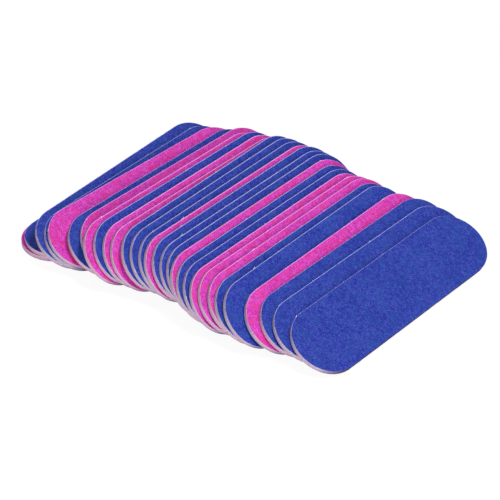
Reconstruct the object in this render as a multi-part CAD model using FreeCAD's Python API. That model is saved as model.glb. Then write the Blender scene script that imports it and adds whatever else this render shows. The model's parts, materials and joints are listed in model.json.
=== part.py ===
import FreeCAD, Part
import math
import os

# A set of thirty small double-sided emery boards, spread out like a pack of cards.
# Each board is a grey paperboard core with a sheet of abrasive paper glued on each face.
# The lowest boards lie flat. Every later one stands with one long edge on the table
# and leans back on the boards before it.
# Lengths are in millimetres and turns in degrees.
# X runs along the row, Y along the boards, Z is up, and the table is at zero.

# One board
BOARD_LENGTH = 78.0
BOARD_WIDTH = 20.4
CORE_THICKNESS = 1.1
PAPER_THICKNESS = 0.25
# The end is a little flatter than a half circle, and its corners a little tighter.
END_FLATTENING = 0.3
CORNER_TIGHTENING = 0.3

# The row
# Air left between two boards that rest on each other.
REST_CLEARANCE = 0.05
# Straight pieces that stand for each arc of the outline when two boards are tried for contact.
ARC_PIECES = 8

# One line for each board, from the lowest to the top one.
# First its step along the row from the board before, then how far it is pushed along its length,
# both in shares of the board thickness. Then its turn on the table and its lean.
FAN_SHARES = (
    (0.00, -1.9, -1.25, 0),
    (-0.55, -1.3, 3.25, 0),
    (3.25, -2.9, 2.50, 30),
    (2.40, -2.6, 0.75, 30),
    (1.90, -2.8, -2.25, 30),
    (3.00, -1.5, -0.75, 35),
    (1.65, -0.2, -1.25, 38),
    (1.75, -2.2, -0.50, 45),
    (1.30, -1.2, -0.50, 47),
    (1.70, -0.7, -0.25, 47),
    (1.55, -0.4, -0.50, 48),
    (1.45, 0.3, 1.00, 49),
    (1.55, 0.8, 0.75, 50),
    (1.60, 1.3, 0.75, 50),
    (1.65, 1.2, 0.00, 50),
    (1.70, 1.6, 0.25, 48),
    (1.65, 1.8, 0.25, 48),
    (1.50, 1.9, 0.25, 48),
    (1.60, 1.1, 0.00, 49),
    (2.00, 0.7, 0.00, 47),
    (1.75, 0.7, 0.00, 46),
    (1.65, 0.5, 0.25, 46),
    (2.10, 0.9, -0.25, 43),
    (1.90, 1.3, 0.25, 42),
    (1.80, 1.1, 0.00, 42),
    (1.70, 1.3, 0.50, 42),
    (3.80, 3.2, 0.25, 37),
    (3.05, 4.3, -0.75, 34),
    (3.35, 4.5, -1.00, 29),
    (3.90, 4.7, -0.75, 26),
)

BOARD_THICKNESS = CORE_THICKNESS + 2 * PAPER_THICKNESS
ALONG_Y = FreeCAD.Vector(0, 1, 0)
ALONG_Z = FreeCAD.Vector(0, 0, 1)


def end_geometry():
    """Radii and centres of the three arcs of one end, the far one."""
    half_width = BOARD_WIDTH / 2
    end_radius = half_width + END_FLATTENING
    corner_radius = half_width - CORNER_TIGHTENING
    end_centre = BOARD_LENGTH / 2 - end_radius
    corner_side = half_width - corner_radius
    reach = math.sqrt((end_radius - corner_radius) ** 2 - corner_side ** 2)
    corner_centre = end_centre + reach
    meeting_angle = math.degrees(math.atan2(corner_side, reach))
    return end_radius, corner_radius, end_centre, corner_side, corner_centre, meeting_angle


def end_arcs():
    """The arcs of the far end from its +X side to its -X side: centre, radius, first and last angle."""
    end_radius, corner_radius, end_centre, corner_side, corner_centre, meeting_angle = end_geometry()
    quarter = 90.0
    return (
        (corner_side, corner_centre, corner_radius, 0.0, quarter - meeting_angle),
        (0.0, end_centre, end_radius, quarter - meeting_angle, quarter + meeting_angle),
        (-corner_side, corner_centre, corner_radius, quarter + meeting_angle, 2 * quarter),
    )


def on_circle(centre_x, centre_y, radius, angle):
    turn = math.radians(angle)
    return centre_x + radius * math.cos(turn), centre_y + radius * math.sin(turn)


def outline_points():
    """The board's outline as corner points, anticlockwise."""
    far_end = []
    for centre_x, centre_y, radius, first, last in end_arcs():
        for piece in range(ARC_PIECES):
            angle = first + (last - first) * piece / ARC_PIECES
            far_end.append(on_circle(centre_x, centre_y, radius, angle))
    far_end.append((-BOARD_WIDTH / 2, far_end[0][1]))
    near_end = [(-x, -y) for x, y in far_end]
    return far_end + near_end


def outline_wire(height):
    """The same outline as true arcs and two straight long edges."""
    edges = []
    for side in (1, -1):
        arcs = []
        for centre_x, centre_y, radius, first, last in end_arcs():
            ends = []
            for angle in (first, (first + last) / 2, last):
                x, y = on_circle(centre_x, centre_y, radius, angle)
                ends.append(FreeCAD.Vector(side * x, side * y, height))
            arcs.append(Part.Arc(*ends).toShape())
        edges.extend(arcs)
        corner = arcs[-1].Vertexes[-1].Point
        if side == 1:
            far_corner = corner
    first_corner = edges[0].Vertexes[0].Point
    edges.append(Part.makeLine(far_corner, edges[3].Vertexes[0].Point))
    edges.append(Part.makeLine(corner, first_corner))
    return Part.Wire(Part.__sortEdges__(edges))


def sheet(bottom, thickness):
    """One layer of the board, with its underside at the given height."""
    face = Part.Face(outline_wire(bottom))
    return face.extrude(FreeCAD.Vector(0, 0, thickness))


def core():
    return sheet(PAPER_THICKNESS, CORE_THICKNESS)


def papers():
    lower = sheet(0, PAPER_THICKNESS)
    upper = sheet(PAPER_THICKNESS + CORE_THICKNESS, PAPER_THICKNESS)
    return Part.makeCompound([lower, upper])


def board_point(point, height, place):
    """A point of the board, given across, along and above its underside, put where the board lies."""
    across, along = point
    x, y, z, turn, lean = place
    lean = math.radians(lean)
    turn = math.radians(turn)
    out = across * math.cos(lean) + height * math.sin(lean)
    up = height * math.cos(lean) - across * math.sin(lean)
    return (
        x + out * math.cos(turn) - along * math.sin(turn),
        y + out * math.sin(turn) + along * math.cos(turn),
        z + up,
    )


def face_height(place, height, x, y):
    """Height of the board's face above the point x, y of the table."""
    origin = board_point((0, 0), height, place)
    turn = math.radians(place[3])
    slope = math.tan(math.radians(place[4]))
    outward = (x - origin[0]) * math.cos(turn) + (y - origin[1]) * math.sin(turn)
    return origin[2] - outward * slope


def clipped(subject, clipper):
    """The part of one flat convex outline that lies inside another."""
    kept = subject
    for start, end in zip(clipper, clipper[1:] + clipper[:1]):
        side_x, side_y = end[0] - start[0], end[1] - start[1]
        sides = [side_x * (y - start[1]) - side_y * (x - start[0]) for x, y in kept]
        inside = []
        for number, point in enumerate(kept):
            here = sides[number]
            before = sides[number - 1]
            if here * before < 0:
                previous = kept[number - 1]
                part = before / (before - here)
                inside.append((
                    previous[0] + (point[0] - previous[0]) * part,
                    previous[1] + (point[1] - previous[1]) * part,
                ))
            if here >= 0:
                inside.append(point)
        kept = inside
        if not kept:
            break
    return kept


def seen_from_above(outline, height, place):
    return [board_point(point, height, place)[:2] for point in outline]


def rest_height(outline, place, earlier):
    """How high the board's middle line stands when it is let down on the table and on earlier boards."""
    x, y, z, turn, lean = place
    height = BOARD_WIDTH / 2 * math.sin(math.radians(lean))
    underside = seen_from_above(outline, 0, place)
    for other in earlier:
        top = seen_from_above(outline, BOARD_THICKNESS, other)
        for point in clipped(underside, top):
            gap = face_height(place, 0, *point) - face_height(other, BOARD_THICKNESS, *point)
            height = max(height, REST_CLEARANCE - gap)
    return height


def fan_places():
    """Where each board lies: the middle of its underside, its turn and its lean."""
    outline = outline_points()
    places = []
    foot = 0.0
    for step_share, push_share, turn, lean in FAN_SHARES:
        foot = foot + step_share * BOARD_THICKNESS
        push = push_share * BOARD_THICKNESS
        reach = BOARD_WIDTH / 2 * math.cos(math.radians(lean))
        x = foot - reach * math.cos(math.radians(turn))
        y = push - reach * math.sin(math.radians(turn))
        place = (x, y, 0.0, turn, lean)
        height = rest_height(outline, place, places)
        places.append((x, y, height, turn, lean))
    return places


def laid(shape, place):
    x, y, z, turn, lean = place
    rotation = FreeCAD.Rotation(ALONG_Z, turn) * FreeCAD.Rotation(ALONG_Y, lean)
    moved = shape.copy()
    moved.Placement = FreeCAD.Placement(FreeCAD.Vector(x, y, z), rotation)
    return moved


def build():
    parts = {}
    for number, place in enumerate(fan_places(), start=1):
        parts["board_%02d_core" % number] = laid(core(), place)
        parts["board_%02d_papers" % number] = laid(papers(), place)
    box = Part.makeCompound(list(parts.values())).optimalBoundingBox(False)
    shift = FreeCAD.Vector(-box.Center.x, -box.Center.y, -box.ZMin)
    os.makedirs("parts", exist_ok=True)
    for name, shape in parts.items():
        shape.translate(shift)
        shape.exportStep("parts/%s.step" % name)


build()
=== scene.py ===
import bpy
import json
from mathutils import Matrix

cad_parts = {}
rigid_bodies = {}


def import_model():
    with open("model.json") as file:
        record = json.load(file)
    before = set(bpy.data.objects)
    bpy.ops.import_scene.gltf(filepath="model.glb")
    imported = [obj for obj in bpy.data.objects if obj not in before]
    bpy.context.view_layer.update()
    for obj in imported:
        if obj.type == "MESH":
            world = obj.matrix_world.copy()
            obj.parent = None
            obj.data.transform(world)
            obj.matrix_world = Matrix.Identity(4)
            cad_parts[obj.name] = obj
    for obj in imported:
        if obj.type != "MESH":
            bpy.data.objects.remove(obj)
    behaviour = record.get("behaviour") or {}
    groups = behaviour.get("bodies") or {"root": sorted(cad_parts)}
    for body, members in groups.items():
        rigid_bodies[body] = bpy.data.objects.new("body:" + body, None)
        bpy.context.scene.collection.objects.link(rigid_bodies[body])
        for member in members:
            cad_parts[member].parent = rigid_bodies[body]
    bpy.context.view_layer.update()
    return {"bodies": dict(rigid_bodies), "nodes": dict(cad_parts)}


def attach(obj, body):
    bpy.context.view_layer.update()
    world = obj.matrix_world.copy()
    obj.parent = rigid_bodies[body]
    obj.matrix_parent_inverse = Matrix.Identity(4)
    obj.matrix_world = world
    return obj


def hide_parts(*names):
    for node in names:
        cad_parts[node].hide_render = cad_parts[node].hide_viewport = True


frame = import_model()

import json
import math
import random

import bpy
from mathutils import Matrix, Vector

# THE BLANK
# Every board of the set is the same flat blank, die-cut in one stroke from a laminated sheet,
# so all its layers share one outline: two straight long edges and full round ends.
# The lowest boards lie flat and the others lean back on them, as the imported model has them.
MM = 0.001
BOARDS = len(frame["bodies"])
END_RADIUS = 10.5 * MM
CORNER_RADIUS = 9.9 * MM
RIM_STEP = 0.6 * MM
QUARTER_TURN = math.pi / 2
# A face whose normal leans less than this towards the flat face's normal is part of the wall.
WALL_LEAN = 0.1
# The upper face of each board, from the lowest to the top one. The other colour is underneath.
UPPER_FACES = (
    "pink blue blue blue pink blue pink pink blue pink "
    "pink blue blue blue pink blue blue blue pink blue "
    "blue pink pink pink blue blue pink blue blue blue"
).split()
# How fast the chipping fades from the left edge round the ends, and the left wall's share of
# painted shade.
CHIP_FALL = 8
LEFT_SHADE_SHARE = 0.5


def board_directions(mesh):
    """The board's own directions, read from its flat faces: across, along and out of its top."""
    by_area = sorted(mesh.polygons, key=lambda face: face.area, reverse=True)
    out = by_area[0].normal.copy()
    if out.z < 0:
        out.negate()
    across = next(face.normal.copy() for face in by_area if abs(face.normal.dot(out)) < WALL_LEAN)
    if across.x < 0:
        across.negate()
    return across, out.cross(across), out


def extent(mesh, direction):
    """Lowest and highest place of a mesh along a direction."""
    heights = [direction.dot(vertex.co) for vertex in mesh.vertices]
    return min(heights), max(heights)


def board_place(number):
    """Where a board's middle lies, how it is turned and its sizes, read from its packed core."""
    core = frame["nodes"]["board_%02d_core" % number].data
    papers = frame["nodes"]["board_%02d_papers" % number].data
    directions = board_directions(core)
    middle = Vector((0, 0, 0))
    sizes = []
    for direction in directions:
        low, high = extent(core, direction)
        middle += direction * (low + high) / 2
        sizes.append(high - low)
    low, high = extent(papers, directions[2])
    turn = Matrix([list(direction) for direction in directions]).transposed()
    return Matrix.Translation(middle) @ turn.to_4x4(), sizes, high - low


places = {}
for number in range(1, BOARDS + 1):
    places[number], core_sizes, board_thickness = board_place(number)
board_width, board_length, core_thickness = core_sizes
paper_thickness = (board_thickness - core_thickness) / 2


def blank_rim():
    """Points of the outline with their outward directions, up the right side and down the left."""
    corner_side = board_width / 2 - CORNER_RADIUS
    end_centre = board_length / 2 - END_RADIUS
    corner_reach = math.sqrt((END_RADIUS - CORNER_RADIUS) ** 2 - corner_side ** 2)
    corner_centre = end_centre + corner_reach
    meeting = QUARTER_TURN - math.atan2(corner_side, corner_reach)
    upper = []
    for centre_x, centre_y, radius, first, last in (
        (corner_side, corner_centre, CORNER_RADIUS, 0.0, meeting),
        (0.0, end_centre, END_RADIUS, meeting, QUARTER_TURN),
    ):
        pieces = max(2, round(radius * (last - first) / RIM_STEP))
        for piece in range(1 if upper else 0, pieces + 1):
            angle = first + (last - first) * piece / pieces
            out_x, out_y = math.cos(angle), math.sin(angle)
            upper.append((centre_x + radius * out_x, centre_y + radius * out_y, out_x, out_y))
    pieces = round(2 * corner_centre / RIM_STEP)
    straight = [
        (board_width / 2, corner_centre * (2 * piece / pieces - 1), 1.0, 0.0)
        for piece in range(1, pieces)
    ]
    lower = [(x, -y, out_x, -out_y) for x, y, out_x, out_y in reversed(upper)]
    right = lower + straight + upper
    left = [(-x, y, -out_x, out_y) for x, y, out_x, out_y in reversed(right[1:-1])]
    return right + left


RIM = blank_rim()
# The die cuts the blanks from their left side to their right one. It chips the coat along the left
# edge, less round the ends, and leaves it on the right edge. Painted shade darkens the right wall
# and half as much the left one. On a sheet that is turned over, side -1, left and right change
# places.
CHIPPED, RUBBED, PAINTED_SHADE_SHARES = {}, {}, {}
for side in (1, -1):
    facings = [side * out_x for _, _, out_x, _ in RIM]
    CHIPPED[side] = [((1 - facing) / 2) ** CHIP_FALL for facing in facings]
    RUBBED[side] = [max(0.0, 2 * facing - 1) for facing in facings]
    PAINTED_SHADE_SHARES[side] = [max(0.0, 2 * facing - 1, -LEFT_SHADE_SHARE * facing) for facing in facings]


def ring(height, insets):
    """The outline at one height of the blank, each point let in by its own amount."""
    return [
        (x - out_x * inset, y - out_y * inset, height)
        for (x, y, out_x, out_y), inset in zip(RIM, insets)
    ]


def layer_mesh(name, rings, number, smooth_from):
    """A closed layer: rings from its lower face to its upper one, with both faces filled across."""
    count = len(RIM)
    half = count // 2
    vertices = [point for points in rings for point in points]
    faces = []
    smooth = []
    for level in range(len(rings) - 1):
        base = level * count
        for i in range(count):
            j = (i + 1) % count
            faces.append((base + i, base + j, base + count + j, base + count + i))
            smooth.append(level >= smooth_from)
    for base, upward in ((0, False), ((len(rings) - 1) * count, True)):
        for i in range(half):
            rung = [base + i, base + i + 1, base + count - i - 1, base + (count - i) % count]
            if i == 0:
                rung.pop()
            if i == half - 1:
                rung.pop(2)
            faces.append(tuple(rung) if upward else tuple(reversed(rung)))
            smooth.append(upward)
    return placed_mesh(name, vertices, faces, smooth, number)


def placed_mesh(name, vertices, faces, smooth, number):
    """A mesh put where its board lies. Its attribute on_blank keeps each point's place on its own
    blank, with a shift for each board, for the patterns to lie on."""
    mesh = bpy.data.meshes.new(name)
    mesh.from_pydata([places[number] @ Vector(point) for point in vertices], [], faces)
    mesh.polygons.foreach_set("use_smooth", smooth)
    shift = number * board_length
    own = mesh.attributes.new("on_blank", "FLOAT_VECTOR", "POINT")
    own.data.foreach_set("vector", [part for x, y, z in vertices for part in (x, y + shift, z)])
    mesh.validate()
    return mesh


def mark_points(mesh, name, values):
    """Keeps a number for each point of a mesh, for its material to read."""
    mesh.attributes.new(name, "FLOAT", "POINT").data.foreach_set("value", values)


def set_out(name, mesh, number, material):
    """Puts one piece of a board into the scene, on that board's body."""
    mesh.materials.append(material)
    piece = bpy.data.objects.new(name, mesh)
    bpy.context.scene.collection.objects.link(piece)
    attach(piece, "board_%02d" % number)
    return piece


# THE PAPERBOARD CORE
# Recycled greyboard, felted from several plies of pulp, which carries both abrasive papers.
# The die crushes its cut edge to fine ridges of dull, mauve-grey pulp. Painted shade, tinted like
# the board below, darkens its right wall and half as much its left one, and its low side is painted
# with colour reflected from the face of the board below, and with shade.
PLIES = 4
PLY_GROOVE = 0.035 * MM
CUT_ROUGHNESS = 0.03 * MM
# Pulp fibres lie about this far apart, drawn coarse enough to show, and flat along the plies.
PULP_SPACING = 0.5 * MM
PULP_FLATNESS = 3.5
PULP_RANGE = (0.32, 0.68)
PULP_RELIEF = 0.06 * MM
FLECK_SPACING = 2 * PULP_SPACING
FLECK_RANGE = (0.16, 0.1)
FLECK_STRENGTH = 0.6
GREYBOARD_LIGHT = "#E2CEDE"
GREYBOARD_DARK = "#AE98AC"
GREYBOARD_SPECK = "#6F6A78"
# The painted reflection and shade starts a little above the middle of the wall and is full at its
# low edge.
REFLECTION_RANGE_SHARES = (0.1, -0.5)
REFLECTION_SHARE = 0.65
PINK_REFLECTED_COLOUR = "#D892B4"
BLUE_REFLECTED_COLOUR = "#9C96BE"
BLUE_TINTED_SHADE = "#332C66"
PINK_TINTED_SHADE = "#6E2A60"


def linear(colour):
    """A colour written as sRGB hex, as the linear one that the nodes take."""
    channels = [int(colour[place:place + 2], 16) / 255 for place in (1, 3, 5)]
    return tuple(
        channel / 12.92 if channel <= 0.04045 else ((channel + 0.055) / 1.055) ** 2.4
        for channel in channels
    ) + (1.0,)


def new_finish(name):
    """An empty material with its shader and output."""
    material = bpy.data.materials.new(name)
    material.use_nodes = True
    tree = material.node_tree
    tree.nodes.clear()
    shader = tree.nodes.new("ShaderNodeBsdfPrincipled")
    output = tree.nodes.new("ShaderNodeOutputMaterial")
    tree.links.new(shader.outputs[0], output.inputs["Surface"])
    return material, tree, shader


def feed(tree, node, inputs):
    """Gives each named input of a node its value, or the output that feeds it."""
    for name, value in inputs.items():
        socket = node.inputs[name]
        if isinstance(value, bpy.types.NodeSocket):
            tree.links.new(value, socket)
        else:
            socket.default_value = value


def add(tree, kind, inputs, **settings):
    """Adds a node with its inputs and settings."""
    node = tree.nodes.new("ShaderNode" + kind)
    for name, value in settings.items():
        setattr(node, name, value)
    feed(tree, node, inputs)
    return node


def marked(tree, name, output="Fac"):
    """What the points of the mesh keep under a name."""
    return add(tree, "Attribute", {}, attribute_name=name).outputs[output]


def noise(tree, place, spacing, detail=2.0, roughness=0.5):
    """Soft random patches about this far apart."""
    return add(tree, "TexNoise", {
        "Vector": place, "Scale": 1 / spacing, "Detail": detail, "Roughness": roughness,
    }).outputs["Fac"]


def calculate(tree, operation, *values, **settings):
    """The result of one sum on values or outputs."""
    inputs = dict(enumerate(values))
    return add(tree, "Math", inputs, operation=operation, **settings).outputs[0]


def rescale(tree, value, low, high, to_low=0.0, to_high=1.0):
    """A value with its range stretched to another one, and held at both ends."""
    return add(tree, "MapRange", {
        "Value": value, "From Min": low, "From Max": high, "To Min": to_low, "To Max": to_high,
    }).outputs["Result"]


def blend(tree, share, first, second):
    """One colour, in hex or an output, turning into another as the share goes from 0 to 1."""
    colours = [linear(item) if isinstance(item, str) else item for item in (first, second)]
    inputs = {0: share, 6: colours[0], 7: colours[1]}
    return add(tree, "Mix", inputs, data_type="RGBA").outputs[2]


def greyboard_finish():
    """Greyboard cut edge: plies and pulp, dull, darker flecks of old print, painted shade and
    reflection.
    """
    material, tree, shader = new_finish("greyboard_die_cut")
    place = marked(tree, "on_blank", "Vector")
    flattened = add(tree, "Mapping", {"Vector": place, "Scale": (1.0, 1.0, PULP_FLATNESS)})
    pulp = noise(tree, flattened.outputs["Vector"], PULP_SPACING, detail=3.0, roughness=0.65)
    tone = rescale(tree, pulp, *PULP_RANGE)
    colour = blend(tree, tone, GREYBOARD_DARK, GREYBOARD_LIGHT)
    flecks = add(tree, "TexVoronoi", {"Vector": place, "Scale": 1 / FLECK_SPACING})
    fleck = rescale(tree, flecks.outputs["Distance"], *FLECK_RANGE, to_high=FLECK_STRENGTH)
    colour = blend(tree, fleck, colour, GREYBOARD_SPECK)
    # Painted reflection and shade: the wall's low side takes the colour of the board below's face.
    height = add(tree, "SeparateXYZ", {"Vector": place}).outputs["Z"]
    reflection_range = [share * core_thickness for share in REFLECTION_RANGE_SHARES]
    low = rescale(tree, height, *reflection_range, to_high=REFLECTION_SHARE)
    beneath = marked(tree, "beneath")
    colour = blend(tree, low, colour, blend(tree, beneath, BLUE_REFLECTED_COLOUR, PINK_REFLECTED_COLOUR))
    # Painted shade, tinted like the board below, on the walls marked for it.
    colour = blend(tree, marked(tree, "painted_shade"), colour, blend(tree, beneath, BLUE_TINTED_SHADE, PINK_TINTED_SHADE))
    relief = add(tree, "Bump", {"Height": pulp, "Strength": 0.6, "Distance": PULP_RELIEF})
    feed(tree, shader, {
        "Base Color": colour, "Normal": relief.outputs["Normal"],
        "Roughness": 0.92, "IOR": 1.5, "Specular IOR Level": 0.25,
    })
    return material


greyboard = greyboard_finish()
for number in range(1, BOARDS + 1):
    chance = random.Random(number)
    rings = []
    for level in range(2 * PLIES + 1):
        height = core_thickness * (level / (2 * PLIES) - 0.5)
        groove = PLY_GROOVE if level % 2 == 0 else 0.0
        rings.append(ring(height, [groove + CUT_ROUGHNESS * chance.random() for _ in RIM]))
    mesh = layer_mesh("greyboard", rings, number, len(rings))
    pink_beneath = 1.0 if UPPER_FACES[max(number - 2, 0)] == "pink" else 0.0
    mark_points(mesh, "beneath", [pink_beneath] * len(mesh.vertices))
    # Painted shade: full on the right wall, half as strong on the left one.
    mark_points(mesh, "painted_shade", PAINTED_SHADE_SHARES[1] * len(rings))
    core = set_out("board_%02d_greyboard" % number, mesh, number, greyboard)
    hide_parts("board_%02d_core" % number)


# THE BLUE ABRASIVE PAPER
# Stout white paper coated with coloured resin and fine emery grit, glued to one face of the core.
# Along its left edge the die chips the coat off a thin line of bare, lavender-stained paper.
# Its cut edge is plain paper, rolled on an upper sheet and undercut on a lower one, in painted
# shade.
BARE_RIM = 0.19 * MM
LEAST_RIM_SHARE = 0.05
# How much of the bare rim each board has, from the lowest to the top one.
WORN_SHARES = (
    1.0, 0.9, 0.8, 0.6, 0.7, 0.3, 0.7, 1.0, 0.8, 1.2,
    1.0, 1.0, 0.9, 0.8, 1.0, 0.8, 1.1, 1.0, 0.8, 0.7,
    0.8, 1.1, 1.0, 0.9, 0.5, 0.8, 0.9, 0.2, 0.9, 0.3,
)
ROLL = 0.06 * MM
UNDERCUT = 0.40 * MM
DEEPEST_ROLL_SHARE = 0.7
# Side of the sheet, roll of its edge, and the coat that the die drags on its wall and on its roll.
UPPER_EDGE = (1, ROLL, 0.0, 0.1)
LOWER_EDGE = (-1, UNDERCUT, 0.42, 0.9)
# The coat that is left half way across the bare rim and at its inner side.
HALF_RIM_SHARE = 0.6
HALF_RIM_COAT = 0.5
INNER_RIM_COAT = 0.9
DRAGGED_COAT = 0.6
# From this step of its profile up, over the coated face, a sheet is shaded smooth.
SMOOTH_FROM = 2
NICK = 0.05 * MM
NICK_RARITY = 3
NICK_SHARES = (0.4, 1.0, 0.5)
# The grit is about 0.1 mm apart. It is drawn about three times as coarse, or it would not show.
GRIT_SPACING = 0.29 * MM
GRIT_RANGE = (0.63, 0.85)
GRIT_RELIEF = 0.08 * MM
CLUMP_SPACING = 1.1 * MM
CLUMP_WEIGHT = 0.35
TONE_SPACING = 9.0 * MM
TONE_WEIGHT = 0.12
RESIN_SPACING = 2.6 * MM
RESIN_RANGE = (0.44, 0.70)
RESIN_STRENGTH = 0.45
# A few crystals get painted glints, lighter spots mixed into the colour itself.
CRYSTAL_SPACING = 2 * GRIT_SPACING
CRYSTAL_RANGE = (0.20, 0.08)
GLINT_RARITY = 0.72
GLINT_STRENGTH = 0.55
# The coat's edge is as ragged as the clumps of grit.
RAGGEDNESS = 0.9
COAT_RANGE = (0.86, 1.02)
# Grains are shinier than the pits between them.
GLOSS_RANGE = (0.3, 0.7)
PIT_ROUGHNESS = 0.85
GRAIN_ROUGHNESS = 0.62
# The plain cut edge starts this far below the coated face, in shares of the paper.
CUT_SHARES = (0.1, 0.3)
# A lower sheet's cut edge takes this many times as much painted shade as an upper one's.
LOWER_SHADE_SCALE = 3.0
CUT_EDGE_SHADE = "#42365E"
BLUE_GRIT = ("#182A90", "#2838A2", "#4455BA")
BLUE_PAINTED_GLINT = "#8C9CE4"
BLUE_STAIN = "#2450A0"
BLUE_RIM = "#AEB4FF"
BLUE_CUT = "#C2B6D2"


def abrasive_finish(name, grit, painted_glint, stain, rim, cut):
    """Resin-bonded grit: dark pits, lighter grains, a few painted glints, worn to paper at the rim.
    """
    material, tree, shader = new_finish(name)
    place = marked(tree, "on_blank", "Vector")
    grains = noise(tree, place, GRIT_SPACING, roughness=0.6)
    clumps = noise(tree, place, CLUMP_SPACING)
    tones = noise(tree, place, TONE_SPACING, detail=1.0)
    mixed = calculate(tree, "MULTIPLY_ADD", clumps, CLUMP_WEIGHT, grains)
    toned = calculate(tree, "MULTIPLY_ADD", tones, TONE_WEIGHT, mixed)
    ramp = add(tree, "ValToRGB", {"Fac": rescale(tree, toned, *GRIT_RANGE)})
    dark, middle, light = [linear(colour) for colour in grit]
    stops = ramp.color_ramp.elements
    stops[0].color = dark
    stops[1].color = light
    stops.new(0.5).color = middle
    resin = noise(tree, place, RESIN_SPACING)
    uneven = rescale(tree, resin, *RESIN_RANGE, to_high=RESIN_STRENGTH)
    colour = blend(tree, uneven, ramp.outputs["Color"], stain)
    # Painted glints: a few crystals lightened in the base colour.
    crystals = add(tree, "TexVoronoi", {"Vector": place, "Scale": 1 / CRYSTAL_SPACING})
    facets = add(tree, "SeparateColor", {"Color": crystals.outputs["Color"]})
    bright = calculate(tree, "GREATER_THAN", facets.outputs[0], GLINT_RARITY)
    sparkle = rescale(tree, crystals.outputs["Distance"], *CRYSTAL_RANGE, to_high=GLINT_STRENGTH)
    colour = blend(tree, calculate(tree, "MULTIPLY", sparkle, bright), colour, painted_glint)
    ragged = calculate(tree, "MULTIPLY_ADD", clumps, RAGGEDNESS, marked(tree, "coat"))
    colour = blend(tree, rescale(tree, ragged, *COAT_RANGE), rim, colour)
    height = add(tree, "SeparateXYZ", {"Vector": place}).outputs["Z"]
    cut_range = [board_thickness / 2 - share * paper_thickness for share in CUT_SHARES]
    wall = rescale(tree, calculate(tree, "ABSOLUTE", height), *cut_range)
    # Painted shade on the cut edge: full on the right wall, half on the left, more on a lower
    # sheet.
    below = calculate(tree, "LESS_THAN", height, 0.0)
    shade_scale = calculate(tree, "MULTIPLY_ADD", below, LOWER_SHADE_SCALE - 1, 1.0)
    painted_shade = calculate(tree, "MULTIPLY", marked(tree, "painted_shade"), shade_scale, use_clamp=True)
    colour = blend(tree, wall, colour, blend(tree, painted_shade, cut, CUT_EDGE_SHADE))
    relief = add(tree, "Bump", {"Height": mixed, "Strength": 0.45, "Distance": GRIT_RELIEF})
    feed(tree, shader, {
        "Base Color": colour, "Normal": relief.outputs["Normal"],
        "Roughness": rescale(tree, grains, *GLOSS_RANGE, PIT_ROUGHNESS, GRAIN_ROUGHNESS),
        "IOR": 1.54, "Specular IOR Level": 0.2,
    })
    return material


def paper_sheet(number, colour, upper, finish, chance):
    """One abrasive paper on its face of the core, with its worn rim and small nicks."""
    nicks = []
    while len(nicks) < len(RIM):
        depth = NICK * chance.random() ** NICK_RARITY
        nicks += [depth * share for share in NICK_SHARES]
    glued, face = core_thickness / 2, core_thickness / 2 + paper_thickness
    side, roll, wall_coat, roll_coat = UPPER_EDGE if upper else LOWER_EDGE
    # Height, how far in, how many bare rims further in, and how much of the coat is left.
    profile = (
        (glued, 0.0, 0.0, wall_coat),
        (face - min(roll, DEEPEST_ROLL_SHARE * paper_thickness), 0.0, 0.0, wall_coat),
        (face, roll, 0.0, roll_coat),
        (face, roll, HALF_RIM_SHARE, max(HALF_RIM_COAT, roll_coat)),
        (face, roll, 1.0, INNER_RIM_COAT),
        (face, roll, 2.0, 1.0),
    )
    bare_rim = BARE_RIM * WORN_SHARES[number - 1]
    rings = [
        ring(height, [
            inset + nick + rims * bare_rim * (LEAST_RIM_SHARE + chipped)
            for nick, chipped in zip(nicks, CHIPPED[side])
        ])
        for height, inset, rims, _ in profile
    ]
    if not upper:
        rings = [[(-x, y, -z) for x, y, z in points] for points in rings]
    mesh = layer_mesh("abrasive_paper", rings, number, SMOOTH_FROM)
    mark_points(mesh, "coat", [
        max(left, rubbed, DRAGGED_COAT * (1 - chipped))
        for _, _, _, left in profile for rubbed, chipped in zip(RUBBED[side], CHIPPED[side])
    ])
    # Where the cut edge gets painted shade, by side of the outline.
    mark_points(mesh, "painted_shade", PAINTED_SHADE_SHARES[side] * len(rings))
    name = "board_%02d_%s_paper" % (number, colour)
    sheet = set_out(name, mesh, number, finish)
    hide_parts("board_%02d_papers" % number)


blue_emery = abrasive_finish(
    "blue_emery_in_resin", BLUE_GRIT, BLUE_PAINTED_GLINT, BLUE_STAIN, BLUE_RIM, BLUE_CUT
)
for number, upper_face in enumerate(UPPER_FACES, start=1):
    chance = random.Random(BOARDS + number)
    paper_sheet(number, "blue", upper_face == "blue", blue_emery, chance)


# THE PINK ABRASIVE PAPER
# The same paper and grit under a magenta resin, glued to the other face of the core.
# Its colour is strong and a little uneven, and looks redder where the next board shades it.
PINK_GRIT = ("#C02CA0", "#D83CBE", "#EA60D2")
PINK_PAINTED_GLINT = "#FFA6EC"
PINK_STAIN = "#E62E7E"
PINK_RIM = "#FFAAFA"
PINK_CUT = "#E2BCCC"

pink_emery = abrasive_finish(
    "pink_emery_in_resin", PINK_GRIT, PINK_PAINTED_GLINT, PINK_STAIN, PINK_RIM, PINK_CUT
)
for number, upper_face in enumerate(UPPER_FACES, start=1):
    chance = random.Random(2 * BOARDS + number)
    paper_sheet(number, "pink", upper_face == "pink", pink_emery, chance)


# TORN FIBRES
# Loose paper fibres and little white burrs that the die has torn out of the papers' cut edges.
# They are the paper's own cellulose, soft and matt, and cling to the rims here and there.
FIBRES = 6
FIBRE_RADIUS = 0.03 * MM
FIBRE_LENGTHS_MM = (0.5, 1.1)
BURRS = 1
BURR_RADIUS = 0.09 * MM
BURR_LENGTHS_MM = (0.5, 1.3)
FIBRE_PIECES = 5
FIBRE_SIDES = 5
FIBRE_WHITE = "#F1EDF6"
FIBRE_SHADE = "#D5CCE0"
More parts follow.
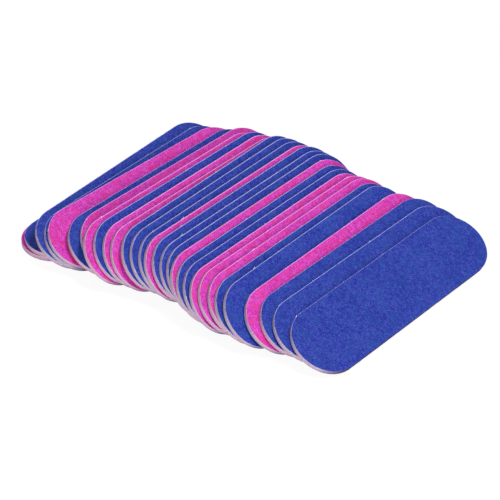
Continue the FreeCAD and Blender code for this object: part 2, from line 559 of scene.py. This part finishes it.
# How far a fibre's end may lift and swing out, in shares of its length.
FIBRE_RISES = (-0.1, 0.25)
FIBRE_SWINGS = (-0.15, 0.3)
# A fibre swells from a blunt tip to its middle and is flatter than it is wide.
TIP_SHARE = 0.08
LEAST_GIRTH = 0.05
FIBRE_FLATNESS = 0.6


def fibre_finish():
    """Bleached cellulose: white and matt, with greyer patches."""
    material, tree, shader = new_finish("torn_paper_fibre")
    pulp = noise(tree, marked(tree, "on_blank", "Vector"), PULP_SPACING)
    colour = blend(tree, pulp, FIBRE_SHADE, FIBRE_WHITE)
    feed(tree, shader, {"Base Color": colour, "Roughness": 0.95, "IOR": 1.5})
    return material


def torn_fibre(chance, radius, length):
    """One tapered fibre lying along the rim's left side and lifting a little at its end."""
    count = len(RIM)
    # The last four ninths of the outline run down its left side to the near end.
    x, y, out_x, out_y = RIM[chance.randrange(count * 5 // 9, count)]
    along = (-out_y, out_x) if chance.random() < 0.5 else (out_y, -out_x)
    height = board_thickness / 2 - radius - ROLL / 3
    rise = chance.uniform(*FIBRE_RISES)
    swing = chance.uniform(*FIBRE_SWINGS)
    points = []
    for piece in range(FIBRE_PIECES + 1):
        share = piece / FIBRE_PIECES
        reach = length * share
        bend = length * share * share
        swell = math.sin(math.pi * (TIP_SHARE + (1 - 2 * TIP_SHARE) * share))
        girth = radius * math.sqrt(max(LEAST_GIRTH, swell))
        centre = (
            x + along[0] * reach + out_x * bend * swing,
            y + along[1] * reach + out_y * bend * swing,
            height + bend * rise,
        )
        for side in range(FIBRE_SIDES):
            angle = 4 * QUARTER_TURN * side / FIBRE_SIDES
            sideways, upward = girth * math.cos(angle), FIBRE_FLATNESS * girth * math.sin(angle)
            points.append((
                centre[0] + out_x * sideways,
                centre[1] + out_y * sideways,
                centre[2] + upward,
            ))
    return points


def fibres_mesh(number, chance):
    """All the loose fibres and burrs of one board."""
    vertices, faces = [], []
    kinds = FIBRES * [(FIBRE_RADIUS, FIBRE_LENGTHS_MM)] + BURRS * [(BURR_RADIUS, BURR_LENGTHS_MM)]
    for radius, lengths in kinds:
        base = len(vertices)
        vertices += torn_fibre(chance, radius, chance.uniform(*lengths) * MM)
        for piece in range(FIBRE_PIECES):
            low = base + piece * FIBRE_SIDES
            high = low + FIBRE_SIDES
            for side in range(FIBRE_SIDES):
                turn = (side + 1) % FIBRE_SIDES
                faces.append((low + side, low + turn, high + turn, high + side))
        last = base + FIBRE_PIECES * FIBRE_SIDES
        faces.append(tuple(range(base + FIBRE_SIDES - 1, base - 1, -1)))
        faces.append(tuple(range(last, last + FIBRE_SIDES)))
    return placed_mesh("torn_fibres", vertices, faces, [True] * len(faces), number)


torn_fibre_white = fibre_finish()
for number in range(1, BOARDS + 1):
    mesh = fibres_mesh(number, random.Random(3 * BOARDS + number))
    set_out("board_%02d_torn_fibres" % number, mesh, number, torn_fibre_white)


# THE TABLE AND THE WHITE BACKGROUND
# A plain pale sweep, matt, under and far behind the boards, and a white surrounding.
# To the camera and in reflections it is lifted to white, and it keeps the boards' soft shadow.
FLOOR_SIZE = 4.0
FLOOR_GAP = 0.03 * MM
FLOOR_WHITE = "#F2F2F2"
FLOOR_SEEN = "#606060"
FLOOR_LIFT = 0.93
WHITE = (1.0, 1.0, 1.0, 1.0)


def seen_directly(tree):
    """One for rays from the camera, in reflections and through clear things, zero for light."""
    path = add(tree, "LightPath", {}).outputs
    seen = calculate(tree, "MAXIMUM", path["Is Camera Ray"], path["Is Glossy Ray"])
    return calculate(tree, "MAXIMUM", seen, path["Is Transmission Ray"])


def floor_finish():
    """Matt white card."""
    material, tree, shader = new_finish("matt_white_card")
    seen = seen_directly(tree)
    feed(tree, shader, {
        "Base Color": blend(tree, seen, FLOOR_WHITE, FLOOR_SEEN),
        "Emission Color": WHITE,
        "Emission Strength": calculate(tree, "MULTIPLY", seen, FLOOR_LIFT),
        "Roughness": 1.0, "Specular IOR Level": 0.0,
    })
    return material


half = FLOOR_SIZE / 2
mesh = bpy.data.meshes.new("floor")
mesh.from_pydata(
    [(x, y, -FLOOR_GAP) for x, y in ((-half, -half), (half, -half), (half, half), (-half, half))],
    [], [(0, 1, 2, 3)],
)
mesh.materials.append(floor_finish())
floor = bpy.data.objects.new("floor", mesh)
bpy.context.scene.collection.objects.link(floor)

# THE LIGHT
# A dim white surround and two small studio soft boxes. The main one, high on the right, lights the
# faces and the rims, and the weaker one, low at the front right, lights the near ends' cut edges.
# So the left walls and the gaps beside them stay in soft shade.
SURROUND = 0.23
SOFT_BOX_SIZE = 0.2
SOFT_BOXES = (
    ("soft_box_right", 5.2, (0.44, -0.03, 0.88)),
    ("soft_box_front", 4.4, (0.5, -0.82, 0.25)),
)

world = bpy.data.worlds.new("white_surround")
bpy.context.scene.world = world
world.use_nodes = True
tree = world.node_tree
tree.nodes.clear()
level = rescale(tree, seen_directly(tree), 0.0, 1.0, SURROUND, 1.0)
surround = add(tree, "Background", {"Color": WHITE, "Strength": level})
add(tree, "OutputWorld", {"Surface": surround.outputs[0]})

for name, power, place in SOFT_BOXES:
    lamp = bpy.data.lights.new(name, "AREA")
    lamp.shape = "SQUARE"
    lamp.size = SOFT_BOX_SIZE
    lamp.energy = power
    soft_box = bpy.data.objects.new(name, lamp)
    soft_box.location = place
    soft_box.rotation_euler = (-Vector(place)).to_track_quat("-Z", "Y").to_euler()
    bpy.context.scene.collection.objects.link(soft_box)

# THE CAMERA
# A long lens held level from left to right, at the front right of the boards and well above them,
# which is the side that the photograph was taken from.
CAMERA_TURN = math.radians(40.95)
CAMERA_RISE = math.radians(36.44)
CAMERA_LENS = 144.0
CAMERA_SENSOR = 36.0
CAMERA_NEAREST = 0.01
CAMERA_DISTANCE = 587.1 * MM
CAMERA_AIM = Vector((-0.019, 1.234, 0.0)) * MM

right = Vector((math.cos(CAMERA_TURN), math.sin(CAMERA_TURN), 0.0))
forward = Vector((
    -math.sin(CAMERA_TURN) * math.cos(CAMERA_RISE),
    math.cos(CAMERA_TURN) * math.cos(CAMERA_RISE),
    -math.sin(CAMERA_RISE),
))
upward = right.cross(forward)
lens = bpy.data.cameras.new("camera")
lens.lens = CAMERA_LENS
lens.sensor_width = CAMERA_SENSOR
lens.clip_start = CAMERA_NEAREST
camera = bpy.data.objects.new("camera", lens)
turn = Matrix([list(right), list(upward), list(-forward)]).transposed()
camera.matrix_world = Matrix.Translation(CAMERA_AIM - forward * CAMERA_DISTANCE) @ turn.to_4x4()
bpy.context.scene.collection.objects.link(camera)
bpy.context.scene.camera = camera
bpy.context.scene.view_settings.view_transform = "Standard"
